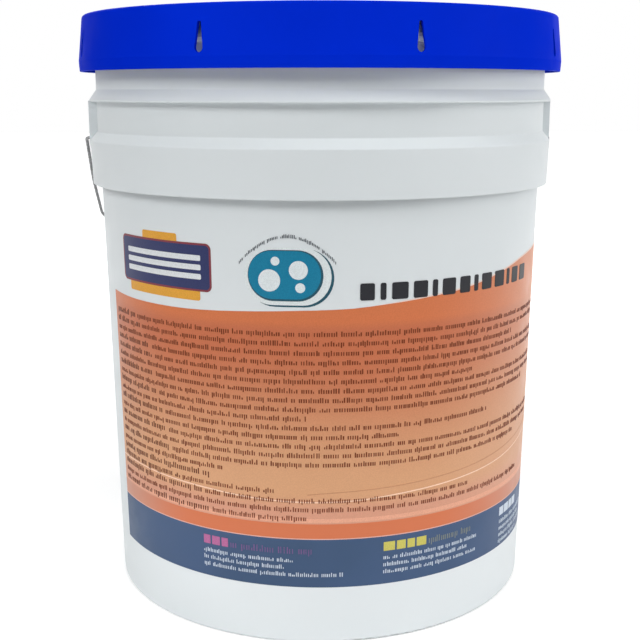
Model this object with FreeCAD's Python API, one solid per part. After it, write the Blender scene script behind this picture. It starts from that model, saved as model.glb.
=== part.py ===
import FreeCAD, Part
import math
import os

# Round plastic pail for washing powder, with a press-on lid and a steel wire bail.
# Millimetres, +Z up. The origin is the middle of the foot, on the surface that the pail stands on.
# -Y is the printed front, and the bail turns about a line along X.

# Pail wall
FOOT_RADIUS = 139.3        # outside of the wall, carried down to the floor
WALL_TAPER = 0.0198        # radius gained for each mm of height
WALL = 2.2
PAIL_HEIGHT = 366.6
NECK_STEP = 0.9            # the neck above the skirt is this much wider than the wall's taper

# Foot
FOOT_ROUND = 2.2
FOOT_RING_WIDTH = 7.5      # flat ring that stands on the floor
FOOT_RING_SLOPE = 3.0      # run of the slope from the ring up to the raised floor panel
FLOOR_RAISE = 3.0
FLOOR_WALL = 2.6

# Edges: a broken corner, a soft corner and a well rounded one
FINE_ROUND = 0.5
SOFT_ROUND = 1.0
FULL_ROUND = 1.5

# Skirt, the hanging band that the bail's ears stand on, measured down from the rim
SKIRT_TOP_DROP = 66.6      # rim to the top of the slope
SKIRT_SLOPE_DROP = 5.8
SKIRT_HEIGHT = 27.5
SKIRT_REACH = 4.8          # how far it stands out from the neck
SKIRT_DRAFT = 0.95         # how much narrower its lower edge is
SKIRT_WALL = 2.0
GUSSET_COUNT = 24
GUSSET_WALL = 1.6
GUSSET_LIFT = 4.0          # the gussets end this far above the skirt's lower edge

# Flange ring above the skirt
RING_DROP = 48.0           # rim to the ring's underside
RING_REACH = 4.5
RING_EDGE = 1.0
RING_SLOPE_HEIGHT = 6.4

# Snap bead round the rim
BEAD_DROP = 15.6           # rim to the bead's underside
BEAD_REACH = 3.5
BEAD_EDGE = 2.0
BEAD_UNDER_SLOPE = 2.5
BEAD_TOP_SLOPE = 6.0

# Ears
EAR_HALF_WIDTH = 21.0
EAR_REACH = 5.2            # outside of the ear from the neck
EAR_WALL = 2.1
EAR_SKIN = 0.6             # the pivot boss stands this far out of the ear
PIVOT_DROP = 71.6          # rim to the bail's pivot line
BOSS_RADIUS = 8.0
HEAD_POCKET_HALF = 5.0

# Lid
LID_OVERHANG = 10.0        # widest radius of the lid from the neck
LID_WALL = 2.0
LID_TOP_WALL = 2.4
LID_SKIRT_HEIGHT = 34.4
LID_BAND_HEIGHT = 6.5      # from the lower edge to the widest point
LID_BAND_DRAFT = 0.4
LID_TOP_DRAFT = 3.0        # how much narrower the lid is at its top corner
LID_CORNER = 2.2
PLUG_GAP = 1.2             # pail wall to the lid's plug wall
PLUG_LENGTH = 14.0         # from the top of the lid down to the plug's lower edge
PLUG_DRAFT = 0.8
PANEL_RECESS = 9.0
PANEL_WALL = 2.0
LID_RIB_COUNT = 24
LID_RIB_WALL = 1.4
LID_RIB_DEPTH = 16.5       # how far the ribs hang down inside the skirt
BEAD_GAP = 0.5             # ribs to the snap bead

# Tear slots in the lid's skirt
SLOT_COUNT = 8
SLOT_FIRST_DEG = 17.3      # from the front, towards +X
SLOT_FOOT_RADIUS = 2.5
SLOT_TOP_RADIUS = 1.1
SLOT_FOOT_RISE = 10.8      # lower edge of the lid to the middle of the round foot
SLOT_LENGTH = 12.9         # between the middles of its two round ends

# Gasket
GASKET_WIDTH = 4.4
GASKET_GAP = 0.3           # to the plug wall
GASKET_ROUND = 0.6
GASKET_HEIGHT = 2.4        # pressed between the rim and the lid

# Bail
WIRE_RADIUS = 1.1
WIRE_HOLE_GAP = 0.3
WIRE_BEND = 2.6
HEAD_RADIUS = 2.3
HEAD_LENGTH = 2.0
HEAD_GAP = 0.4             # head to the inside of the ear
LEG_GAP = 2.1              # leg to the face of the boss, at the pivot
LEG_LEAN = 0.056           # how far the leg leans out for each mm of its length, up to its knee
KNEE_REACH = 52.0          # pivot line to the knee, a slight bend past the lid
KNEE_RADIUS = 400.0
SHANK_LEAN = 0.006         # lean from the knee to the shoulder
SHOULDER_REACH = 97.0      # pivot line to the corner where the wire turns inwards
SHOULDER_RADIUS = 12.0
CROWN_RADIUS = 50.0
CROWN_SPARE = 74.0         # from the grip's end to the corner where the crown turns down
HANG_DEG = 37.0            # the bail hangs this far below level, behind the pail

# Grip
GRIP_RADIUS = 8.8
GRIP_REST_GAP = 0.6        # to the pail's back wall
GRIP_LENGTH = 100.0
GRIP_WALL = 1.8
GRIP_WAIST = 1.0           # the barrel is this much slimmer between its end rims
GRIP_RIM_LENGTH = 4.0
GRIP_BORE_GAP = 0.5
GRIP_CORE_WALL = 1.6
GRIP_WEBS = 4
GRIP_WEB_WALL = 1.5
GRIP_WEB_INSET = 1.0       # the webs end this far inside the grip's ends
GRIP_RIDGES = 11
GRIP_RIDGE_RADIUS = 0.9

# Powder
HEADSPACE = 76.6           # rim to the powder at the wall
POWDER_MOUND = 5.0
POWDER_GAP = 0.2

SAME_POINT = 0.000001      # ends of an outline's edges that are nearer than this meet

UP = FreeCAD.Vector(0, 0, 1)
SIDE = FreeCAD.Vector(1, 0, 0)
ORIGIN = FreeCAD.Vector(0, 0, 0)


def wall_radius(z):
    """Outside radius of the tapered wall at height z."""
    return FOOT_RADIUS + WALL_TAPER * z


# Levels
SKIRT_TOP = PAIL_HEIGHT - SKIRT_TOP_DROP
SKIRT_SHOULDER = SKIRT_TOP - SKIRT_SLOPE_DROP
SKIRT_BOTTOM = SKIRT_SHOULDER - SKIRT_HEIGHT
RING_BOTTOM = PAIL_HEIGHT - RING_DROP
BEAD_BOTTOM = PAIL_HEIGHT - BEAD_DROP
PIVOT_Z = PAIL_HEIGHT - PIVOT_DROP
LID_TOP = PAIL_HEIGHT + GASKET_HEIGHT + LID_TOP_WALL
LID_BOTTOM = LID_TOP - LID_SKIRT_HEIGHT
LID_WIDEST = LID_BOTTOM + LID_BAND_HEIGHT
CHANNEL_TOP = LID_TOP - LID_TOP_WALL
PANEL_TOP = LID_TOP - PANEL_RECESS
PLUG_BOTTOM = LID_TOP - PLUG_LENGTH
POWDER_EDGE = PAIL_HEIGHT - HEADSPACE

# Radii
NECK = wall_radius(SKIRT_TOP) + NECK_STEP
NECK_INSIDE = NECK - WALL
SKIRT_RADIUS = NECK + SKIRT_REACH
RING_RADIUS = NECK + RING_REACH
BEAD_RADIUS = NECK + BEAD_REACH
EAR_RADIUS = NECK + EAR_REACH
BOSS_FACE = EAR_RADIUS + EAR_SKIN
LID_RADIUS = NECK + LID_OVERHANG
LID_TOP_RADIUS = LID_RADIUS - LID_TOP_DRAFT
PLUG_RADIUS = NECK_INSIDE - PLUG_GAP

# Bail
LEG_X = BOSS_FACE + LEG_GAP + WIRE_RADIUS
KNEE_X = LEG_X + LEG_LEAN * KNEE_REACH
SHOULDER_X = KNEE_X + SHANK_LEAN * (SHOULDER_REACH - KNEE_REACH)
HANG = math.radians(HANG_DEG)
GRIP_STAND_OFF = wall_radius(PIVOT_Z) + GRIP_RADIUS + GRIP_REST_GAP
BAIL_REACH = GRIP_STAND_OFF / (math.cos(HANG) + WALL_TAPER * math.sin(HANG))


def revolve(outline):
    """Solid of revolution about the Z axis, from an outline in the XZ plane.

    The outline is a list of corners (r, z). A corner with a third value is rounded to that radius.
    """
    count = len(outline)
    points = [FreeCAD.Vector(corner[0], 0, corner[1]) for corner in outline]
    starts = []
    ends = []
    arcs = []
    for index, corner in enumerate(outline):
        here = points[index]
        radius = corner[2] if len(corner) > 2 else 0.0
        if radius <= 0.0:
            starts.append(here)
            ends.append(here)
            arcs.append(None)
            continue
        back = (points[index - 1] - here).normalize()
        ahead = (points[(index + 1) % count] - here).normalize()
        half = back.getAngle(ahead) / 2
        reach = radius / math.tan(half)
        middle = (back + ahead).normalize()
        centre_point = here + middle * (radius / math.sin(half))
        starts.append(here + back * reach)
        ends.append(here + ahead * reach)
        arcs.append(centre_point - middle * radius)
    edges = []
    for index in range(count):
        if arcs[index] is not None:
            edges.append(Part.Arc(starts[index], arcs[index], ends[index]).toShape())
        following = (index + 1) % count
        if ends[index].distanceToPoint(starts[following]) > SAME_POINT:
            edges.append(Part.LineSegment(ends[index], starts[following]).toShape())
    face = Part.Face(Part.Wire(edges))
    return face.revolve(ORIGIN, UP, 360)


def ring(inner, outer, bottom, top):
    """Plain round ring about the Z axis."""
    height = top - bottom
    foot = FreeCAD.Vector(0, 0, bottom)
    return Part.makeCylinder(outer, height, foot).cut(Part.makeCylinder(inner, height, foot))


def block(x0, x1, y0, y1, z0, z1):
    return Part.makeBox(x1 - x0, y1 - y0, z1 - z0, FreeCAD.Vector(x0, y0, z0))


def around(shape, angle_deg):
    """Copy of a shape turned about the Z axis."""
    copy = shape.copy()
    copy.rotate(ORIGIN, UP, angle_deg)
    return copy


def slot_angle(index):
    """Angle about Z, from +X, of a tear slot."""
    return SLOT_FIRST_DEG - 90.0 + index * 360.0 / SLOT_COUNT


def pail_shell():
    floor_edge = FOOT_RADIUS - FOOT_ROUND - FOOT_RING_WIDTH
    panel_edge = floor_edge - FOOT_RING_SLOPE
    skirt_inside = SKIRT_RADIUS - SKIRT_WALL
    hollow_top = SKIRT_SHOULDER + SKIRT_WALL
    inside_round = max(FOOT_ROUND - WALL, WALL / 2)
    outline = [
        (0, FLOOR_RAISE),
        (panel_edge, FLOOR_RAISE),
        (floor_edge, 0),
        (wall_radius(0), 0, FOOT_ROUND),
        (wall_radius(hollow_top), hollow_top),
        (skirt_inside, SKIRT_SHOULDER - 0.5 * SKIRT_WALL),
        (skirt_inside - SKIRT_DRAFT, SKIRT_BOTTOM),
        (SKIRT_RADIUS - SKIRT_DRAFT, SKIRT_BOTTOM, SKIRT_WALL / 4),
        (SKIRT_RADIUS, SKIRT_SHOULDER, FULL_ROUND),
        (NECK, SKIRT_TOP, SOFT_ROUND),
        (NECK, RING_BOTTOM),
        (RING_RADIUS, RING_BOTTOM, FINE_ROUND),
        (RING_RADIUS, RING_BOTTOM + RING_EDGE, FINE_ROUND),
        (NECK, RING_BOTTOM + RING_EDGE + RING_SLOPE_HEIGHT, FULL_ROUND),
        (NECK, BEAD_BOTTOM, FINE_ROUND),
        (BEAD_RADIUS, BEAD_BOTTOM + BEAD_UNDER_SLOPE, FINE_ROUND),
        (BEAD_RADIUS, BEAD_BOTTOM + BEAD_UNDER_SLOPE + BEAD_EDGE, FINE_ROUND),
        (NECK, BEAD_BOTTOM + BEAD_UNDER_SLOPE + BEAD_EDGE + BEAD_TOP_SLOPE, SOFT_ROUND),
        (NECK, PAIL_HEIGHT, FINE_ROUND),
        (NECK_INSIDE, PAIL_HEIGHT, FINE_ROUND),
        (NECK_INSIDE, SKIRT_TOP),
        (wall_radius(hollow_top) - WALL, hollow_top),
        (wall_radius(FLOOR_WALL) - WALL, FLOOR_WALL, inside_round),
        (floor_edge - 0.5 * FLOOR_WALL, FLOOR_WALL),
        (panel_edge - 0.5 * FLOOR_WALL, FLOOR_RAISE + FLOOR_WALL),
        (0, FLOOR_RAISE + FLOOR_WALL),
    ]
    return revolve(outline)


def skirt_gussets():
    """Thin upright webs between the wall and the inside of the skirt."""
    bottom = SKIRT_BOTTOM + GUSSET_LIFT
    top = SKIRT_SHOULDER + 0.5 * SKIRT_WALL
    inner = wall_radius(bottom) - 0.5 * WALL
    outer = SKIRT_RADIUS - SKIRT_DRAFT - 0.5 * SKIRT_WALL
    web = block(inner, outer, -GUSSET_WALL / 2, GUSSET_WALL / 2, bottom, top)
    step = 360.0 / GUSSET_COUNT
    webs = []
    for index in range(GUSSET_COUNT):
        angle = (index + 0.5) * step
        webs.append(around(web, angle))
    return webs


def ear():
    """Outside of the ear at +X: a block up to the ring, and a round boss about the pivot."""
    inner = NECK - 0.5 * WALL
    body = ring(inner, EAR_RADIUS, SKIRT_SHOULDER, RING_BOTTOM + RING_EDGE / 2)
    body = body.common(
        block(0, 2 * EAR_RADIUS, -EAR_HALF_WIDTH, EAR_HALF_WIDTH, 0, PAIL_HEIGHT)
    )
    boss_start = SKIRT_RADIUS - 0.5 * SKIRT_WALL
    boss = Part.makeCylinder(
        BOSS_RADIUS, BOSS_FACE - boss_start, FreeCAD.Vector(boss_start, 0, PIVOT_Z), SIDE
    )
    return body.fuse(boss)


def ear_hollow():
    """Pocket behind the ear's face, open below, and the pivot hole."""
    outer = EAR_RADIUS - EAR_WALL
    half = EAR_HALF_WIDTH - EAR_WALL
    shelf = SKIRT_TOP - 0.5 * SKIRT_SLOPE_DROP
    room = ring(NECK, outer, shelf, RING_BOTTOM - EAR_WALL)
    room = room.common(block(0, 2 * outer, -half, half, 0, PAIL_HEIGHT))
    low = PIVOT_Z - BOSS_RADIUS + EAR_WALL
    pocket = ring(NECK, outer, low, shelf + EAR_WALL)
    pocket = pocket.common(
        block(0, 2 * outer, -HEAD_POCKET_HALF, HEAD_POCKET_HALF, 0, PAIL_HEIGHT)
    )
    hole = Part.makeCylinder(
        WIRE_RADIUS + WIRE_HOLE_GAP,
        BOSS_FACE - NECK,
        FreeCAD.Vector(NECK + EAR_WALL / 2, 0, PIVOT_Z),
        SIDE,
    )
    return room.fuse([pocket, hole])


def pail_body():
    body = pail_shell()
    ears = [ear(), around(ear(), 180)]
    hollows = [ear_hollow(), around(ear_hollow(), 180)]
    body = body.fuse(skirt_gussets() + ears)
    body = body.cut(hollows)
    return body.removeSplitter()


def lid_slot():
    """Teardrop cutter at +X: a wide round foot, tapering to a narrow round top."""
    foot_z = LID_BOTTOM + SLOT_FOOT_RISE
    top_z = foot_z + SLOT_LENGTH
    start = BEAD_RADIUS + BEAD_GAP
    depth = LID_RADIUS + LID_WALL - start
    lean = math.asin((SLOT_FOOT_RADIUS - SLOT_TOP_RADIUS) / SLOT_LENGTH)

    def tangent(radius, level, side):
        y = side * radius * math.cos(lean)
        return FreeCAD.Vector(start, y, level + radius * math.sin(lean))

    foot_low = FreeCAD.Vector(start, 0, foot_z - SLOT_FOOT_RADIUS)
    top_high = FreeCAD.Vector(start, 0, top_z + SLOT_TOP_RADIUS)
    foot_left = tangent(SLOT_FOOT_RADIUS, foot_z, -1)
    foot_right = tangent(SLOT_FOOT_RADIUS, foot_z, 1)
    top_left = tangent(SLOT_TOP_RADIUS, top_z, -1)
    top_right = tangent(SLOT_TOP_RADIUS, top_z, 1)
    outline = Part.Wire([
        Part.Arc(foot_left, foot_low, foot_right).toShape(),
        Part.LineSegment(foot_right, top_right).toShape(),
        Part.Arc(top_right, top_high, top_left).toShape(),
        Part.LineSegment(top_left, foot_left).toShape(),
    ])
    return Part.Face(outline).extrude(SIDE * depth)


def lid():
    plug_inside = PLUG_RADIUS - LID_WALL
    outline = [
        (0, PANEL_TOP),
        (plug_inside - PLUG_DRAFT, PANEL_TOP, SOFT_ROUND),
        (plug_inside, LID_TOP, FULL_ROUND),
        (LID_TOP_RADIUS, LID_TOP, LID_CORNER),
        (LID_RADIUS, LID_WIDEST),
        (LID_RADIUS - LID_BAND_DRAFT, LID_BOTTOM, FINE_ROUND),
        (LID_RADIUS - LID_BAND_DRAFT - LID_WALL, LID_BOTTOM, FINE_ROUND),
        (LID_RADIUS - LID_WALL, LID_WIDEST),
        (LID_TOP_RADIUS - LID_WALL, CHANNEL_TOP, LID_CORNER / 2),
        (PLUG_RADIUS, CHANNEL_TOP),
        (PLUG_RADIUS - PLUG_DRAFT, PLUG_BOTTOM, FINE_ROUND),
        (plug_inside - PLUG_DRAFT, PLUG_BOTTOM, FINE_ROUND),
        (plug_inside - PLUG_DRAFT, PANEL_TOP - PANEL_WALL),
        (0, PANEL_TOP - PANEL_WALL),
    ]
    shell = revolve(outline)
    rib_inner = BEAD_RADIUS + BEAD_GAP
    rib_outer = LID_TOP_RADIUS - 0.5 * LID_WALL
    rib = block(
        rib_inner, rib_outer, -LID_RIB_WALL / 2, LID_RIB_WALL / 2,
        CHANNEL_TOP - LID_RIB_DEPTH, CHANNEL_TOP + 0.5 * LID_TOP_WALL,
    )
    step = 360.0 / LID_RIB_COUNT
    ribs = [around(rib, slot_angle(0) + (index + 0.5) * step) for index in range(LID_RIB_COUNT)]
    slots = [around(lid_slot(), slot_angle(index)) for index in range(SLOT_COUNT)]
    return shell.fuse(ribs).cut(slots).removeSplitter()


def lid_gasket():
    inner = PLUG_RADIUS + GASKET_GAP
    outer = inner + GASKET_WIDTH
    return revolve([
        (inner, PAIL_HEIGHT, GASKET_ROUND),
        (outer, PAIL_HEIGHT, GASKET_ROUND),
        (outer, CHANNEL_TOP, GASKET_ROUND),
        (inner, CHANNEL_TOP, GASKET_ROUND),
    ])


def hang(shape):
    """Turn a shape built with the bail straight up, so that it hangs behind the pail."""
    copy = shape.copy()
    copy.rotate(FreeCAD.Vector(0, 0, PIVOT_Z), SIDE, -(90.0 + HANG_DEG))
    return copy


def bail_wire():
    """One wire: head, stub, sharp bend, leg, knee, shoulder, crown, and the same on the other side."""
    def at(x, reach):
        return FreeCAD.Vector(x, 0, PIVOT_Z + reach)

    head_end = EAR_RADIUS - EAR_WALL - HEAD_GAP
    stub_start = at(head_end - HEAD_LENGTH / 2, 0)
    corner = at(LEG_X, 0)
    knee_corner = at(KNEE_X, KNEE_REACH)
    shoulder_corner = at(SHOULDER_X, SHOULDER_REACH)
    crown_corner = at(GRIP_LENGTH / 2 + CROWN_SPARE, BAIL_REACH)
    middle = at(0, BAIL_REACH)

    def rounded(before, here, after, radius):
        back = (before - here).normalize()
        ahead = (after - here).normalize()
        half = back.getAngle(ahead) / 2
        reach = radius / math.tan(half)
        inward = (back + ahead).normalize()
        top = here + inward * (radius / math.sin(half) - radius)
        return here + back * reach, top, here + ahead * reach

    bend = rounded(stub_start, corner, knee_corner, WIRE_BEND)
    knee = rounded(corner, knee_corner, shoulder_corner, KNEE_RADIUS)
    shoulder = rounded(knee_corner, shoulder_corner, crown_corner, SHOULDER_RADIUS)
    crown = rounded(shoulder_corner, crown_corner, middle, CROWN_RADIUS)
    edges = [
        Part.LineSegment(stub_start, bend[0]).toShape(),
        Part.Arc(*bend).toShape(),
        Part.LineSegment(bend[2], knee[0]).toShape(),
        Part.Arc(*knee).toShape(),
        Part.LineSegment(knee[2], shoulder[0]).toShape(),
        Part.Arc(*shoulder).toShape(),
        Part.LineSegment(shoulder[2], crown[0]).toShape(),
        Part.Arc(*crown).toShape(),
        Part.LineSegment(crown[2], middle).toShape(),
    ]
    section = Part.Wire([Part.Circle(stub_start, SIDE, WIRE_RADIUS).toShape()])
    half_wire = Part.Wire(edges).makePipeShell([section], True, False)
    head = Part.makeCylinder(HEAD_RADIUS, HEAD_LENGTH, at(head_end - HEAD_LENGTH, 0), SIDE)
    side = half_wire.fuse(head)
    other = side.mirror(ORIGIN, SIDE)
    return hang(side.fuse(other).removeSplitter())


def bail_grip():
    """Moulded grip: a ridged barrel, joined to a core tube by webs that run its whole length."""
    half = GRIP_LENGTH / 2
    bore = WIRE_RADIUS + GRIP_BORE_GAP
    core = bore + GRIP_CORE_WALL
    barrel_inside = GRIP_RADIUS - GRIP_WAIST - GRIP_WALL
    waist = GRIP_RADIUS - GRIP_WAIST
    barrel = revolve([
        (barrel_inside, -half),
        (GRIP_RADIUS, -half, FINE_ROUND),
        (GRIP_RADIUS, GRIP_RIM_LENGTH - half, FINE_ROUND),
        (waist, GRIP_RIM_LENGTH + GRIP_WAIST - half),
        (waist, half - GRIP_RIM_LENGTH - GRIP_WAIST),
        (GRIP_RADIUS, half - GRIP_RIM_LENGTH, FINE_ROUND),
        (GRIP_RADIUS, half, FINE_ROUND),
        (barrel_inside, half),
    ])
    tube = ring(bore, core, -half, half)
    web = block(
        core - GRIP_CORE_WALL / 2, barrel_inside + GRIP_WALL / 2, -GRIP_WEB_WALL / 2, GRIP_WEB_WALL / 2,
        GRIP_WEB_INSET - half, half - GRIP_WEB_INSET,
    )
    webs = [around(web, index * 360.0 / GRIP_WEBS) for index in range(GRIP_WEBS)]
    span = GRIP_LENGTH - 2 * (GRIP_RIM_LENGTH + GRIP_WAIST)
    pitch = span / GRIP_RIDGES
    ridges = []
    for index in range(GRIP_RIDGES):
        level = (index + 0.5) * pitch - span / 2
        ridges.append(Part.makeTorus(waist, GRIP_RIDGE_RADIUS, FreeCAD.Vector(0, 0, level)))
    grip = barrel.fuse([tube] + webs + ridges).removeSplitter()
    grip.rotate(ORIGIN, FreeCAD.Vector(0, 1, 0), 90)
    grip.translate(FreeCAD.Vector(0, 0, PIVOT_Z + BAIL_REACH))
    return hang(grip)


def washing_powder():
    """Fill inside the pail, level at the wall and slightly mounded in the middle."""
    floor_edge = FOOT_RADIUS - FOOT_ROUND - FOOT_RING_WIDTH
    panel_edge = floor_edge - FOOT_RING_SLOPE
    inside_round = max(FOOT_ROUND - WALL, WALL / 2)
    edge = wall_radius(POWDER_EDGE) - WALL - POWDER_GAP
    mound_top = FreeCAD.Vector(0, 0, POWDER_EDGE + POWDER_MOUND)
    fill = revolve([
        (0, FLOOR_RAISE + FLOOR_WALL),
        (panel_edge - 0.5 * FLOOR_WALL, FLOOR_RAISE + FLOOR_WALL),
        (floor_edge - 0.5 * FLOOR_WALL, FLOOR_WALL),
        (wall_radius(FLOOR_WALL) - WALL - POWDER_GAP, FLOOR_WALL, inside_round),
        (edge, POWDER_EDGE),
        (0, POWDER_EDGE),
    ])
    mound_radius = (edge ** 2 + POWDER_MOUND ** 2) / (2 * POWDER_MOUND)
    ball = Part.makeSphere(mound_radius, mound_top - UP * mound_radius)
    cap = ball.common(block(-2 * edge, 2 * edge, -2 * edge, 2 * edge, POWDER_EDGE, LID_TOP))
    return fill.fuse(cap).removeSplitter()


def write(name, shape):
    solids = shape.Solids
    result = solids[0] if len(solids) == 1 else Part.makeCompound(solids)
    result.exportStep("parts/" + name + ".step")
    box = result.BoundBox
    print(name, "solids", len(solids), "valid", result.isValid(), "volume", round(result.Volume / 1000, 1),
          "cm3, box", [round(v, 2) for v in (box.XMin, box.XMax, box.YMin, box.YMax, box.ZMin, box.ZMax)])


def main():
    os.makedirs("parts", exist_ok=True)
    write("pail_body", pail_body())
    write("lid", lid())
    write("lid_gasket", lid_gasket())
    write("bail_wire", bail_wire())
    write("bail_grip", bail_grip())
    write("washing_powder", washing_powder())


main()
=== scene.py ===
"""Looks of a washing powder pail: finishes, print, fill, floor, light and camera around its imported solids."""
import math
import random

import bmesh
import bpy
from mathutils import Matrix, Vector, noise


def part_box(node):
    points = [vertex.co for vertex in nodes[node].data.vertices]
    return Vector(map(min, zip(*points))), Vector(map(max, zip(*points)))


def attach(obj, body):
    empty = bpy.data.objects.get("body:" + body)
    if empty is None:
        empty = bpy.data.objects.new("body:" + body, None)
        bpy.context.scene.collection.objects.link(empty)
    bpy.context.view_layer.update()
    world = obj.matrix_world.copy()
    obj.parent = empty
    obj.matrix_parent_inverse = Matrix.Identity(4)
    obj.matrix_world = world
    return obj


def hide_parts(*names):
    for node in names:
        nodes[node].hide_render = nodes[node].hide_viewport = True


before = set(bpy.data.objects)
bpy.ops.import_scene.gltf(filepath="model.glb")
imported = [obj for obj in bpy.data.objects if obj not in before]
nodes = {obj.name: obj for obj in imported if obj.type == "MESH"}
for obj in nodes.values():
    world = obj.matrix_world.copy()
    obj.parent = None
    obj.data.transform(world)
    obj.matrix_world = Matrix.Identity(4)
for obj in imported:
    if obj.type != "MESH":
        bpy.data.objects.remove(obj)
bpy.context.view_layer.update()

SEED = 41
MM = 0.001

# The pail's printed wall is a cone: its radius at the floor, and how much that grows per metre of height
FOOT_RADIUS = 0.1393
WALL_TAPER = 0.0198

# Ink lies on the wall in layers, each this much further out than the one below, and is rooted this deep in it
INK_LAYER = 0.00005
INK_ROOT = 0.00008
INK_STEP = 1.5           # degrees of the wall that one flat facet of ink covers

# Print, by azimuth in degrees from the front towards +X and height in millimetres
FIELD_LEFT = -67.6
FIELD_RIGHT = 104.0
NAVY_LOW = 36.4
NAVY_HIGH = 67.0
STRIPE_HIGH = 76.6
GLOW_HIGH = 80.0
HAIRLINE = 0.7
FIELD_TOP = ((-70, 202.6), (-57, 201.5), (-43, 201.4), (-33, 201.8), (-21, 203.1), (-9.5, 204.4), (3.7, 205.6),
             (11, 207.2), (21.5, 209.7), (33.6, 213.0), (46.6, 218.9), (58.5, 224.6), (76, 228.4), (104, 229.5))
SWOOSH = ((-70, 93.8), (-56, 94.3), (-33, 93.2), (-20, 91.3), (-6, 90.2), (6, 90.9), (16, 92.8), (32, 95.2),
          (48, 98.0), (60, 101.4), (78, 108.0), (104, 118.0))
FINE_SWOOSH = ((-6, 94.8), (-1, 95.8), (22, 98.8), (42, 102.2), (60, 107.0), (78, 113.5), (104, 124.0))

# Rows of small print: the first row's foot, the step between rows, and for each row where its heavy marks and
# its light marks end, in degrees
ROW_TOP = 189.7
ROW_STEP = 5.555
ROW_LEFT = -65.6
ROWS = ((-55, 73), (-53, 71.5), (None, 53), (-49, 72.5), (-48, 73), (None, 37), (-48, 72), (None, 73), (-47, 62),
        (None, -5.8), (-45, 43), (None, 16), (-44, 72.5), (None, 71), (-43, 58), (None, -26.9), (-30.3, -30.3),
        (-40, -13.7), (-33, 37), (None, 62), (-31, -6.2))
TITLE_START = 6.0
TITLE_END = 60.0
X_HEIGHT = 2.2
TALL_HEIGHT = 3.0
TAIL_DEPTH = 0.9

# How much of a plain plastic's gloss each finish keeps; 0.5 is all of it
PAIL_GLOSS = 0.3
LID_GLOSS = 0.005
INK_GLOSS = 0.16

# A camera that sees the whole pail as the photograph does
CAMERA_PLACE = (-0.0388, -0.740, 0.325)
CAMERA_TILT = 11.86
CAMERA_TURN = -3.0
SENSOR = 36.0
FOCAL_PIXELS = 1090.0
PICTURE_PIXELS = 640.0

# Light: the world's strength on the object, and soft boxes as (name, azimuth from the front in degrees, elevation,
# distance, width, height, watts), which all face the pail
AMBIENT = 0.03
SOFT_BOXES = (("left_front", -48.0, 37.0, 2.2, 1.0, 0.8, 21.3),
              ("front", 15.0, 42.0, 2.2, 1.0, 0.8, 9.2),
              ("front_high", 5.0, 68.0, 2.2, 1.0, 0.8, 7.0),
              ("right_side", 75.0, 18.0, 2.0, 1.0, 0.8, 15.2),
              ("right_high", 80.0, 45.0, 2.0, 1.0, 0.8, 2.6),
              ("back_left", -160.0, 34.0, 2.2, 1.0, 0.8, 13.0),
              ("back_right", 160.0, 34.0, 2.2, 1.0, 0.8, 13.0),
              ("low_left", -50.0, 1.5, 0.3, 0.3, 0.05, 0.085),
              ("low_front", 0.0, 1.5, 0.3, 0.3, 0.05, 0.065),
              ("low_right", 50.0, 1.5, 0.3, 0.3, 0.05, 0.055))
AIM_HEIGHT = 0.2
LOW_AIM_HEIGHT = 0.03
LOW_ELEVATION = 5.0

# The floor shows white. It adds light of its own to what is seen of it: least round the pail, where the soft
# boxes reach it, and more further out
FLOOR_TONE = 0.75
FLOOR_LIFT_NEAR = 0.38
FLOOR_LIFT_FAR = 1.0
FLOOR_NEAR = 0.2
FLOOR_FAR = 1.1


def linear(red, green, blue):
    """A screen colour from 0 to 255 as the linear colour that shaders use."""
    out = []
    for value in (red, green, blue):
        part = value / 255
        out.append(part / 12.92 if part <= 0.04045 else ((part + 0.055) / 1.055) ** 2.4)
    return (*out, 1.0)


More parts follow.
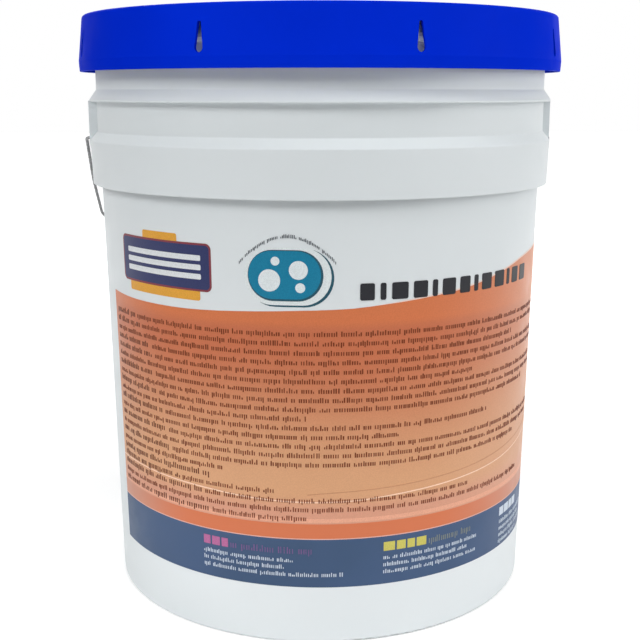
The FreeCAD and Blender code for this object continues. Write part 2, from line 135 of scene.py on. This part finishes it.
class Finish:
    """One procedural material, built node by node around a Principled shader."""

    def __init__(self, name, colour, roughness, **sockets):
        self.material = bpy.data.materials.new(name)
        self.material.use_nodes = True
        self.tree = self.material.node_tree
        self.shader = self.tree.nodes["Principled BSDF"]
        self.shader.inputs["Base Color"].default_value = colour
        self.shader.inputs["Roughness"].default_value = roughness
        for socket, value in sockets.items():
            self.shader.inputs[socket.replace("_", " ")].default_value = value
        self.place = self.node("ShaderNodeTexCoord").outputs["Object"]
        self.relief = None

    def node(self, kind, inputs=None, **settings):
        """Adds a node. An input that is another node's output is linked, and any other value is set."""
        made = self.tree.nodes.new(kind)
        for setting, value in settings.items():
            setattr(made, setting, value)
        for socket, value in (inputs or {}).items():
            if isinstance(value, bpy.types.NodeSocket):
                self.tree.links.new(value, made.inputs[socket])
            else:
                made.inputs[socket].default_value = value
        return made

    def math(self, operation, first, second=0.0, clamp=False):
        return self.node("ShaderNodeMath", {0: first, 1: second}, operation=operation, use_clamp=clamp).outputs[0]

    def stretched(self, stretch):
        """The object's own coordinates, scaled along each axis."""
        return self.node("ShaderNodeMapping", {"Vector": self.place, "Scale": stretch}).outputs[0]

    def noise(self, scale, detail=2.0, stretch=None):
        vector = self.stretched(stretch) if stretch else self.place
        return self.node("ShaderNodeTexNoise", {"Vector": vector, "Scale": scale, "Detail": detail}).outputs["Fac"]

    def cells(self, scale, feature="F1", stretch=None):
        vector = self.stretched(stretch) if stretch else self.place
        made = self.node("ShaderNodeTexVoronoi", {"Vector": vector, "Scale": scale}, feature=feature)
        return made.outputs["Distance"]

    def fade(self, value, start, end, low=0.0, high=1.0):
        """Turns value smoothly from low, at start, to high, at end."""
        made = self.node("ShaderNodeMapRange", {"Value": value, "From Min": start, "From Max": end, "To Min": low,
                                                "To Max": high}, interpolation_type="SMOOTHSTEP")
        return made.outputs["Result"]

    def mix(self, factor, first, second):
        made = self.node("ShaderNodeMix", {0: factor, 6: first, 7: second}, data_type="RGBA")
        return made.outputs[2]

    def colour(self, output):
        self.tree.links.new(output, self.shader.inputs["Base Color"])

    def roughness(self, output):
        self.tree.links.new(output, self.shader.inputs["Roughness"])

    def bump(self, height, distance, strength=1.0):
        """Adds relief of that depth in metres, on top of what is there."""
        inputs = {"Height": height, "Distance": distance, "Strength": strength}
        if self.relief:
            inputs["Normal"] = self.relief
        self.relief = self.node("ShaderNodeBump", inputs).outputs["Normal"]
        self.tree.links.new(self.relief, self.shader.inputs["Normal"])

    def axis(self, name):
        """One coordinate of the object's own space, in metres."""
        return self.node("ShaderNodeSeparateXYZ", {0: self.place}).outputs[name]

    def azimuth(self):
        """The angle round the pail in degrees, 0 at the front and rising towards +X."""
        back = self.math("MULTIPLY", self.axis("Y"), -1.0)
        return self.math("MULTIPLY", self.math("ARCTAN2", self.axis("X"), back), math.degrees(1))

    def scratches(self, scale, stretch, width, share):
        """Thin broken lines, 1 on a line and 0 off it. A larger share leaves more of them."""
        edge = self.cells(scale, "DISTANCE_TO_EDGE", stretch)
        line = self.fade(edge, 0.0, width, 1.0, 0.0)
        patch = self.fade(self.noise(scale * 0.3), 0.62 - share, 0.72 - share)
        return self.math("MULTIPLY", line, patch)


def moulded(name, light, shade, roughness, grain, gloss):
    """Injection-moulded plastic: slight flow shading, a fine grain, soft waviness and thin scuffs."""
    finish = Finish(name, light, roughness, Specular_IOR_Level=gloss)
    flow = finish.fade(finish.noise(7.0, 3.0, (1.0, 1.0, 0.35)), 0.3, 0.7)
    scuff = finish.scratches(46.0, (1.0, 1.0, 0.16), 0.012, 0.04)
    tone = finish.mix(finish.math("MULTIPLY", flow, 0.6), light, shade)
    finish.colour(finish.mix(finish.math("MULTIPLY", scuff, 0.35), tone, shade))
    rough = finish.fade(finish.noise(60.0, 4.0), 0.3, 0.7, roughness - 0.05, roughness + 0.05)
    finish.roughness(finish.math("ADD", rough, finish.math("MULTIPLY", scuff, 0.18), clamp=True))
    finish.bump(finish.noise(30.0, 1.0), 0.00022, 0.5)
    finish.bump(finish.noise(grain, 2.0), 0.00003, 0.5)
    finish.bump(scuff, -0.00004, 0.6)
    return finish


def ink(name, colour, roughness=0.38, mottle=0.06):
    """Printed ink: an even colour with a fine mottle and a little of the wall's grain."""
    finish = Finish(name, colour, roughness, Specular_IOR_Level=INK_GLOSS)
    speck = finish.noise(1500.0, 2.0)
    dark = (*(part * (1 - mottle * 2) for part in colour[:3]), 1.0)
    finish.colour(finish.mix(finish.fade(speck, 0.35, 0.65), dark, colour))
    finish.roughness(finish.fade(finish.noise(70.0, 3.0), 0.3, 0.7, roughness - 0.04, roughness + 0.06))
    finish.bump(finish.noise(30.0, 1.0), 0.00022, 0.5)
    finish.bump(speck, 0.00001, 0.4)
    return finish


def field_ink():
    """The large printed field: orange at its top, tan lower down, and paler and pinker towards both edges."""
    orange = linear(210, 119, 76)
    dull = linear(197, 112, 77)
    tan = linear(210, 158, 118)
    pink = linear(210, 152, 126)
    pale = linear(216, 168, 142)
    finish = ink("ink_field", orange)
    level = finish.axis("Z")
    angle = finish.azimuth()
    drift = finish.math("MULTIPLY", finish.math("SUBTRACT", finish.noise(9.0, 2.0), 0.5), 0.03)
    depth = finish.math("ADD", level, drift)
    body = finish.mix(finish.fade(level, 0.199, 0.193), orange, dull)
    body = finish.mix(finish.fade(depth, 0.192, 0.098), body, tan)
    body = finish.mix(finish.fade(level, 0.096, 0.082), body, pink)
    side = finish.math("MAXIMUM", finish.fade(angle, 18.0, 76.0, 0.0, 0.55), finish.fade(angle, -40.0, -70.0, 0.0, 0.15))
    body = finish.mix(side, body, pale)
    speck = finish.fade(finish.noise(1500.0, 2.0), 0.35, 0.65, 0.93, 1.0)
    finish.colour(finish.node("ShaderNodeMix", {0: 1.0, 6: body, 7: speck}, data_type="RGBA",
                              blend_type="MULTIPLY").outputs[2])
    return finish


def stripe_ink():
    """The strong orange stripe over the navy band, pinker towards both ends."""
    finish = ink("ink_stripe", linear(204, 115, 78))
    angle = finish.azimuth()
    ends = finish.math("MAXIMUM", finish.fade(angle, 25.0, 70.0), finish.fade(angle, -35.0, -66.0))
    finish.colour(finish.mix(ends, linear(204, 115, 78), linear(198, 142, 120)))
    return finish


def navy_ink():
    """The dark blue band, a little bluer in soft clouds."""
    finish = ink("ink_navy", linear(62, 82, 114))
    cloud = finish.fade(finish.noise(14.0, 3.0), 0.35, 0.65)
    finish.colour(finish.mix(cloud, linear(60, 81, 111), linear(65, 86, 119)))
    return finish


def pail_finish():
    finish = moulded("pail_plastic_finish", (0.715, 0.757, 0.772, 1.0), (0.685, 0.73, 0.747, 1.0), 0.42, 1300.0,
                      PAIL_GLOSS)
    finish.shader.inputs["Subsurface Weight"].default_value = 0.12
    finish.shader.inputs["Subsurface Radius"].default_value = (0.003, 0.003, 0.003)
    return finish


def lid_finish():
    """Deep blue moulded plastic, with a dulled, lighter line along its top corner and its lower edge."""
    blue = (0.0005, 0.026, 0.68, 1.0)
    deep = (0.0005, 0.022, 0.6, 1.0)
    worn = (0.008, 0.06, 0.72, 1.0)
    finish = moulded("lid_plastic_finish", blue, deep, 0.46, 1100.0, LID_GLOSS)
    level = finish.axis("Z")
    low, high = (corner.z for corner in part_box("lid"))
    edge = finish.math("MAXIMUM", finish.fade(level, high - 0.0016, high - 0.0002),
                       finish.fade(level, low + 0.0012, low + 0.0002))
    rubbed = finish.math("MULTIPLY", edge, finish.fade(finish.noise(120.0, 4.0), 0.42, 0.62))
    flow = finish.fade(finish.noise(8.0, 3.0), 0.3, 0.7)
    finish.colour(finish.mix(finish.math("MULTIPLY", rubbed, 0.25), finish.mix(flow, blue, deep), worn))
    return finish


def steel_finish():
    """Zinc-plated drawn wire: bright metal with duller crystals and fine drawing lines."""
    finish = Finish("bail_steel_finish", (0.24, 0.245, 0.25, 1.0), 0.34, Metallic=1.0)
    crystal = finish.fade(finish.cells(420.0), 0.2, 0.8)
    drawn = finish.noise(900.0, 2.0, (0.12, 1.0, 1.0))
    finish.colour(finish.mix(crystal, (0.27, 0.275, 0.28, 1.0), (0.18, 0.183, 0.187, 1.0)))
    finish.roughness(finish.fade(drawn, 0.3, 0.7, 0.26, 0.44))
    finish.bump(drawn, 0.00002, 0.6)
    return finish


def foam_finish():
    """Closed foam: small cells with soft walls."""
    finish = Finish("gasket_foam_finish", (0.72, 0.72, 0.69, 1.0), 0.85)
    cell = finish.cells(1500.0)
    finish.colour(finish.mix(finish.fade(cell, 0.1, 0.7), (0.6, 0.6, 0.57, 1.0), (0.76, 0.76, 0.73, 1.0)))
    finish.roughness(finish.fade(finish.noise(300.0), 0.3, 0.7, 0.78, 0.92))
    finish.bump(cell, 0.0002, 0.7)
    return finish


def powder_finish():
    """Fine dry washing powder: near-white grains, clumps, and a few blue grains among them."""
    finish = Finish("powder_finish", (0.86, 0.87, 0.88, 1.0), 0.9)
    grain = finish.cells(1100.0)
    pick = finish.node("ShaderNodeTexVoronoi", {"Vector": finish.place, "Scale": 700.0}).outputs["Color"]
    share = finish.node("ShaderNodeSeparateColor", {0: pick}).outputs[0]
    blue = finish.fade(share, 0.955, 0.965)
    tone = finish.mix(finish.fade(grain, 0.0, 0.6), (0.9, 0.91, 0.92, 1.0), (0.66, 0.68, 0.7, 1.0))
    finish.colour(finish.mix(finish.math("MULTIPLY", blue, 0.8), tone, (0.12, 0.3, 0.68, 1.0)))
    finish.roughness(finish.fade(finish.noise(200.0), 0.3, 0.7, 0.82, 0.95))
    finish.bump(finish.noise(90.0, 3.0), 0.0012, 0.6)
    finish.bump(grain, 0.0006, 0.9)
    return finish


def wall_radius(height):
    """Outer radius of the wall at a height in metres."""
    return FOOT_RADIUS + WALL_TAPER * height


def wall_point(azimuth, height, lift):
    radius = wall_radius(height) + lift
    angle = math.radians(azimuth)
    return Vector((radius * math.sin(angle), -radius * math.cos(angle), height))


def along(points, azimuth):
    """Height at an azimuth, on a smooth curve through the given points."""
    last = len(points) - 1
    index = 0
    while index < last - 1 and points[index + 1][0] < azimuth:
        index += 1
    before = points[max(index - 1, 0)]
    here = points[index]
    after = points[index + 1]
    beyond = points[min(index + 2, last)]
    part = min(max((azimuth - here[0]) / (after[0] - here[0]), 0.0), 1.0)
    run = after[0] - here[0]
    slope_here = (after[1] - before[1]) / (after[0] - before[0]) * run
    slope_after = (beyond[1] - here[1]) / (beyond[0] - here[0]) * run
    square = part * part
    cube = square * part
    return ((2 * cube - 3 * square + 1) * here[1] + (cube - 2 * square + part) * slope_here
            + (3 * square - 2 * cube) * after[1] + (cube - square) * slope_after)


def steps(start, end, most=INK_STEP):
    """Evenly spaced values from start to end, no further apart than most."""
    count = max(1, math.ceil(abs(end - start) / most))
    return [start + (end - start) * index / count for index in range(count + 1)]


def film(name, finish, layer, patches):
    """Ink on the wall. Each patch is a closed thin shell over its columns of (azimuth, low, high), in
    degrees and millimetres."""
    mesh = bmesh.new()
    lift = layer * INK_LAYER
    for columns in patches:
        rows = []
        for azimuth, low, high in columns:
            corners = ((low, lift), (high, lift), (high, -INK_ROOT), (low, -INK_ROOT))
            rows.append([mesh.verts.new(wall_point(azimuth, level * MM, out)) for level, out in corners])
        for left, right in zip(rows, rows[1:]):
            for side in range(4):
                following = (side + 1) % 4
                mesh.faces.new((left[side], right[side], right[following], left[following]))
        mesh.faces.new(list(reversed(rows[0])))
        mesh.faces.new(rows[-1])
    mesh.normal_update()
    for edge in mesh.edges:
        edge.smooth = edge.calc_face_angle(0.0) < 0.6
    for face in mesh.faces:
        face.smooth = True
    return finished(name, mesh, finish, "pail")


def finished(name, mesh, finish, body):
    """Turns a bmesh into a piece that rides on a body."""
    data = bpy.data.meshes.new(name)
    mesh.to_mesh(data)
    mesh.free()
    data.materials.append(finish.material)
    piece = bpy.data.objects.new(name, data)
    bpy.context.scene.collection.objects.link(piece)
    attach(piece, body)
    return piece


def band(start, end, low, high):
    """A patch whose lower and upper edges are heights, or functions of the azimuth."""
    low_at = low if callable(low) else lambda azimuth: low
    high_at = high if callable(high) else lambda azimuth: high
    return [(azimuth, low_at(azimuth), high_at(azimuth)) for azimuth in steps(start, end)]


def line(start, end, points, thickness):
    """A thin patch of even thickness that follows a curve."""
    return band(start, end, lambda azimuth: along(points, azimuth) - thickness / 2,
                lambda azimuth: along(points, azimuth) + thickness / 2)


def degrees_of(width, height):
    """The angle that a width in millimetres covers on the wall at that height."""
    return math.degrees(width * MM / wall_radius(height * MM))


def panel(azimuth, height, wide, tall, corner):
    """A rounded rectangle in millimetres, centred at an azimuth and height. With corners of half its size it
    is a disc."""
    across = []
    turn = 9
    for index in range(turn + 1):
        across.append(corner * (1 - math.cos(math.radians(90 * (index + 0.35) / (turn + 0.35)))))
    offsets = sorted({-wide / 2 + step for step in across} | {wide / 2 - step for step in across})
    columns = []
    for offset in offsets:
        inward = max(corner - (wide / 2 - abs(offset)), 0.0)
        half = tall / 2 - corner + math.sqrt(max(corner ** 2 - inward ** 2, 0.0))
        columns.append((offset, half))
    wall = []
    for left, right in zip(columns, columns[1:]):
        gap = degrees_of(right[0] - left[0], height)
        for part in steps(0.0, 1.0, min(1.0, INK_STEP / max(gap, 0.001)))[:-1]:
            offset = left[0] + (right[0] - left[0]) * part
            half = left[1] + (right[1] - left[1]) * part
            wall.append((azimuth + degrees_of(offset, height), height - half, height + half))
    offset, half = columns[-1]
    wall.append((azimuth + degrees_of(offset, height), height - half, height + half))
    return wall


def marks(draw, start, end, foot, x_height, stroke):
    """A row of small upright marks that stand for words without being letters. The foot is a height, or a
    function of the azimuth."""
    foot_at = foot if callable(foot) else lambda azimuth: foot
    row = []
    scale = x_height / X_HEIGHT
    reach = degrees_of(1.0, foot_at(start))
    azimuth = start
    while azimuth < end:
        for _ in range(draw.choice((2, 3, 4, 5, 5, 6, 7, 8, 9))):
            for _ in range(draw.choice((1, 2, 2, 2))):
                low = foot_at(azimuth)
                high = low + x_height
                kind = draw.random()
                if kind < 0.17:
                    high = low + TALL_HEIGHT * scale
                elif kind < 0.25:
                    low -= TAIL_DEPTH * scale
                elif kind < 0.34:
                    high = low + x_height * 0.55
                width = stroke * draw.uniform(0.85, 1.25)
                if azimuth + width * reach > end:
                    return row
                row.append([(azimuth, low, high), (azimuth + width * reach, low, high)])
                azimuth += (stroke + draw.uniform(0.5, 0.8) * scale) * reach
            azimuth += draw.uniform(0.1, 0.3) * scale * reach
        azimuth += 1.5 * scale * reach
    return row


def blocks(widths, start, end, low, high, gap):
    """Solid upright blocks of the given relative widths, spread over a stretch of the wall."""
    room = end - start - gap * (len(widths) - 1)
    unit = room / sum(widths)
    azimuth = start
    row = []
    for width in widths:
        row.append(band(azimuth, azimuth + width * unit, low, high))
        azimuth += width * unit + gap
    return row


def print_fields():
    """The colour fields: the large field, its edge lines, the stripe and the navy band."""
    def top(azimuth):
        return along(FIELD_TOP, azimuth)

    film("print_field", field_ink(), 1, [band(FIELD_LEFT, FIELD_RIGHT, STRIPE_HIGH, top)])
    film("print_stripe", stripe_ink(), 1, [band(FIELD_LEFT, FIELD_RIGHT, NAVY_HIGH, STRIPE_HIGH)])
    film("print_navy", navy_ink(), 1, [band(FIELD_LEFT, FIELD_RIGHT, NAVY_LOW, NAVY_HIGH)])
    film("print_glow", ink("ink_glow", linear(227, 166, 138)), 2,
         [band(FIELD_LEFT, FIELD_RIGHT, STRIPE_HIGH + 0.8, GLOW_HIGH)])
    pale = ink("ink_pale", linear(244, 208, 182))
    film("print_swoosh", pale, 3, [line(FIELD_LEFT, FIELD_RIGHT, SWOOSH, HAIRLINE)])
    film("print_fine_swoosh", ink("ink_fine", linear(196, 142, 106)), 3, [line(-6, FIELD_RIGHT, FINE_SWOOSH, 0.4)])
    rim = ink("ink_rim", linear(236, 214, 204))
    film("print_rim", rim, 2, [band(8, FIELD_RIGHT, top, lambda azimuth: top(azimuth) + min(0.07 * (azimuth - 8), 0.9))])
    film("print_seam", ink("ink_seam", linear(222, 176, 164)), 2,
         [band(FIELD_LEFT, FIELD_RIGHT, NAVY_HIGH - 0.15, NAVY_HIGH + 0.45)])


def print_rows():
    """The rows of small print on the field, some with heavy marks at their start."""
    draw = random.Random(SEED)
    heavy, light = [], []
    for index, (bold_end, end) in enumerate(ROWS):
        foot = ROW_TOP - ROW_STEP * index
        start = ROW_LEFT
        if bold_end is not None:
            heavy += marks(draw, start, bold_end, foot, X_HEIGHT * 1.2, 0.74)
            start = bold_end + 0.9
        if start < end:
            light += marks(draw, start, end, foot, X_HEIGHT, 0.62)
    film("print_small_rows", ink("ink_brown", linear(116, 54, 27)), 4, light)
    film("print_heavy_rows", ink("ink_dark_brown", linear(104, 50, 26)), 4, heavy)


def print_title():
    """The dark row of rounded blocks over the field's rising edge."""
    widths = (8.4, 3.4, 10.0, 9.0, 3.4, 9.4, 8.0, 3.4, 9.0, 10.0, 3.4, 8.2, 9.2)
    height, tall, corner = 215.05, 9.7, 1.1
    gap = (degrees_of(1.0, height) * -sum(widths) + TITLE_END - TITLE_START) / (len(widths) - 1)
    azimuth = TITLE_START
    row = []
    for width in widths:
        cover = degrees_of(width, height)
        row.append(panel(azimuth + cover / 2, height, width, tall, corner))
        azimuth += cover + gap
    film("print_title", ink("ink_black", linear(40, 41, 46)), 4, row)


def badge_arc(azimuth):
    """Foot of the small row that arches over the second badge."""
    return 245.6 - 0.125 * (azimuth + 10.4) ** 2


def print_badges():
    """Two plain badges over the field, each with a few simple shapes."""
    film("badge_gold", ink("ink_gold", linear(226, 164, 62)), 1,
         [panel(-44.0, 211.5, 62.0, 9.0, 1.5), panel(-44.0, 241.5, 30.0, 7.0, 1.5)])
    film("badge_edge", ink("ink_red", linear(134, 62, 70)), 2, [panel(-44.0, 226.5, 78.0, 28.0, 3.6)])
    film("badge_ground", ink("ink_deep_navy", linear(50, 56, 98)), 3, [panel(-44.0, 226.5, 75.6, 25.6, 2.6)])
    film("badge_bars", ink("ink_white", linear(226, 230, 232)), 4,
         [panel(-44.0, 226.5, 64.0, 3.2, 0.8), panel(-44.0, 231.9, 64.0, 3.2, 0.8),
          panel(-44.0, 221.1, 64.0, 3.2, 0.8)])
    dark_teal = ink("ink_dark_teal", linear(40, 84, 100))
    film("bubble_shadow", dark_teal, 1, [panel(-9.8, 223.2, 50.0, 33.2, 16.5)])
    film("bubble_gap", ink("ink_bubble_ground", linear(226, 233, 234)), 2, [panel(-10.4, 223.9, 50.0, 32.6, 16.2)])
    film("bubble_edge", dark_teal, 3, [panel(-10.8, 224.4, 43.0, 29.0, 14.4)])
    film("bubble_ground", ink("ink_teal", linear(24, 124, 158)), 4, [panel(-11.0, 224.7, 41.2, 27.2, 13.5)])
    film("bubble_discs", ink("ink_bubble", linear(226, 234, 236)), 5,
         [panel(-14.4, 221.6, 12.6, 12.6, 6.29), panel(-7.8, 227.6, 10.6, 10.6, 5.29),
          panel(-13.0, 232.6, 5.0, 5.0, 2.49), panel(-7.4, 217.6, 5.6, 5.6, 2.79)])
    draw = random.Random(SEED + 1)
    film("badge_row", ink("ink_grey", linear(70, 76, 84)), 4, marks(draw, -21.4, 0.6, badge_arc, 1.5, 0.4))


def print_notes():
    """Three short notes in the navy band, each a row of blocks over rows of pale marks."""
    draw = random.Random(SEED + 2)
    film("note_head_left", ink("ink_mauve", linear(178, 104, 150)), 4,
         blocks((2.1, 2.4, 1.9), -33.0, -26.1, 57.4, 62.9, 0.5))
    film("note_tail_left", ink("ink_dim_mauve", linear(118, 88, 136)), 4,
         marks(draw, -25.4, -4.6, 57.6, 3.0, 0.55))
    film("note_head_middle", ink("ink_yellow", linear(200, 192, 98)), 4,
         blocks((3.0, 2.4, 2.1, 2.8), 12.6, 24.1, 57.6, 63.2, 0.5))
    film("note_tail_middle", ink("ink_dim_yellow", linear(136, 142, 132)), 4,
         marks(draw, 24.9, 38.9, 57.8, 3.0, 0.5))
    rows = blocks((2.2, 2.6, 1.9, 2.4), 52.0, 63.6, 57.6, 63.2, 0.5)
    for start, ends in ((-33.0, (-9.2, -11.8, 2.9)), (12.6, (41.2, 37.8, 41.0)), (52.2, (73.0, 68.0, 71.0, 66.0))):
        for index, end in enumerate(ends):
            rows += marks(draw, start, end, 52.2 - 4.5 * index, 1.9, 0.5)
    film("note_rows", ink("ink_note_white", linear(206, 216, 228)), 4, rows)


def washing_powder():
    """The loose fill: an uneven mounded surface of small heaps, closed below along the pail's inside."""
    low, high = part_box("washing_powder")
    rings, sectors = 46, 144
    edge = high.x
    level = high.z - 0.0052
    mesh = bmesh.new()
    middle = mesh.verts.new((0.0, 0.0, surface_height(0.0, 0.0, edge, level)))
    rows = []
    for ring in range(1, rings + 1):
        radius = edge * ring / rings
        row = []
        for sector in range(sectors):
            angle = 2 * math.pi * sector / sectors
            x, y = radius * math.sin(angle), -radius * math.cos(angle)
            row.append(mesh.verts.new((x, y, surface_height(x, y, edge, level))))
        rows.append(row)
    for height in (level * 0.66, level * 0.33, low.z + 0.006, low.z):
        radius = edge - (level - height) * WALL_TAPER - (0.004 if height == low.z else 0.0)
        row = []
        for sector in range(sectors):
            angle = 2 * math.pi * sector / sectors
            row.append(mesh.verts.new((radius * math.sin(angle), -radius * math.cos(angle), height)))
        rows.append(row)
    bottom = mesh.verts.new((0.0, 0.0, low.z + 0.003))
    for sector in range(sectors):
        following = (sector + 1) % sectors
        mesh.faces.new((middle, rows[0][sector], rows[0][following]))
        for inner, outer in zip(rows, rows[1:]):
            mesh.faces.new((inner[sector], outer[sector], outer[following], inner[following]))
        mesh.faces.new((bottom, rows[-1][following], rows[-1][sector]))
    for face in mesh.faces:
        face.smooth = True
    piece = finished("powder_fill", mesh, powder_finish(), "pail")
    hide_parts("washing_powder")


def surface_height(x, y, edge, level):
    """Height of the powder's surface: a low mound with soft heaps and small lumps, level at the wall."""
    reach = min(math.hypot(x, y) / edge, 1.0)
    calm = 1.0 - reach ** 6
    mound = 0.0036 * (1 - reach ** 2)
    heaps = 0.0011 * noise.noise(Vector((x * 24, y * 24, 3.0)))
    lumps = 0.00045 * noise.noise(Vector((x * 150, y * 150, 8.0)))
    return level + mound + (heaps + lumps) * calm


def dress_solids():
    """Gives every solid that stays visible its finish."""
    grip = moulded("grip_plastic_finish", (0.8, 0.815, 0.82, 1.0), (0.75, 0.77, 0.78, 1.0), 0.36, 1500.0, PAIL_GLOSS)
    finishes = {"pail_body": pail_finish(), "lid": lid_finish(), "lid_gasket": foam_finish(),
                "bail_wire": steel_finish(), "bail_grip": grip}
    for name, finish in finishes.items():
        data = nodes[name].data
        data.materials.clear()
        data.materials.append(finish.material)


def seen_directly(tree):
    """1 for what the camera sees, also in gloss and through clear things, and 0 for light that falls on things."""
    path = tree.nodes.new("ShaderNodeLightPath")
    both = tree.nodes.new("ShaderNodeMath")
    both.operation = "MAXIMUM"
    tree.links.new(path.outputs["Is Camera Ray"], both.inputs[0])
    tree.links.new(path.outputs["Is Glossy Ray"], both.inputs[1])
    every = tree.nodes.new("ShaderNodeMath")
    every.operation = "MAXIMUM"
    tree.links.new(both.outputs[0], every.inputs[0])
    tree.links.new(path.outputs["Is Transmission Ray"], every.inputs[1])
    return every.outputs[0]


def studio():
    """A pale floor, a white world that lights softly, and soft boxes in front."""
    world = bpy.data.worlds.new("studio_world")
    bpy.context.scene.world = world
    world.use_nodes = True
    tree = world.node_tree
    background = tree.nodes["Background"]
    background.inputs["Color"].default_value = (1.0, 1.0, 1.0, 1.0)
    strength = tree.nodes.new("ShaderNodeMix")
    tree.links.new(seen_directly(tree), strength.inputs[0])
    strength.inputs[2].default_value = AMBIENT
    strength.inputs[3].default_value = 1.0
    tree.links.new(strength.outputs[0], background.inputs["Strength"])

    size = 8.0
    floor_mesh = bmesh.new()
    bmesh.ops.create_grid(floor_mesh, x_segments=24, y_segments=24, size=size)
    data = bpy.data.meshes.new("floor")
    floor_mesh.to_mesh(data)
    floor_mesh.free()
    floor = bpy.data.objects.new("floor", data)
    bpy.context.scene.collection.objects.link(floor)
    finish = Finish("floor_finish", (FLOOR_TONE, FLOOR_TONE, FLOOR_TONE, 1.0), 0.7, Specular_IOR_Level=0.1)
    low, high = FLOOR_TONE - 0.01, FLOOR_TONE + 0.01
    finish.colour(finish.mix(finish.noise(3.0), (low, low, low, 1.0), (high, high, high, 1.0)))
    finish.shader.inputs["Emission Color"].default_value = (1.0, 1.0, 1.0, 1.0)
    distance = finish.node("ShaderNodeVectorMath", {0: finish.place}, operation="LENGTH").outputs["Value"]
    lift = finish.fade(distance, FLOOR_NEAR, FLOOR_FAR, FLOOR_LIFT_NEAR, FLOOR_LIFT_FAR)
    shown = finish.math("MULTIPLY", seen_directly(finish.tree), lift)
    finish.tree.links.new(shown, finish.shader.inputs["Emission Strength"])
    data.materials.append(finish.material)
    for name, azimuth, elevation, distance, wide, tall, power in SOFT_BOXES:
        soft_box(name, azimuth, elevation, distance, wide, tall, power)


def soft_box(name, azimuth, elevation, distance, wide, tall, power):
    """A rectangular lamp on a sphere about the pail, facing its middle, or its foot if it stands that low."""
    lamp = bpy.data.lights.new(name, "AREA")
    lamp.shape = "RECTANGLE"
    lamp.size = wide
    lamp.size_y = tall
    lamp.energy = power
    holder = bpy.data.objects.new(name, lamp)
    holder.visible_camera = False
    low = elevation < LOW_ELEVATION
    aim = Vector((0.0, 0.0, LOW_AIM_HEIGHT if low else AIM_HEIGHT))
    around, up = math.radians(azimuth), math.radians(elevation)
    away = Vector((math.sin(around) * math.cos(up), -math.cos(around) * math.cos(up), math.sin(up)))
    holder.location = aim + away * distance
    holder.rotation_euler = (-away).to_track_quat("-Z", "Y").to_euler()
    bpy.context.scene.collection.objects.link(holder)


def camera():
    data = bpy.data.cameras.new("camera")
    data.sensor_width = SENSOR
    data.lens = SENSOR * FOCAL_PIXELS / PICTURE_PIXELS
    data.clip_start = 0.01
    data.clip_end = 100.0
    holder = bpy.data.objects.new("camera", data)
    holder.location = CAMERA_PLACE
    holder.rotation_euler = (math.radians(90 - CAMERA_TILT), 0.0, math.radians(CAMERA_TURN))
    bpy.context.scene.collection.objects.link(holder)
    bpy.context.scene.camera = holder


camera()
studio()
dress_solids()
print_fields()
print_rows()
print_title()
print_badges()
print_notes()
washing_powder()

bpy.context.scene.view_settings.view_transform = "Standard"
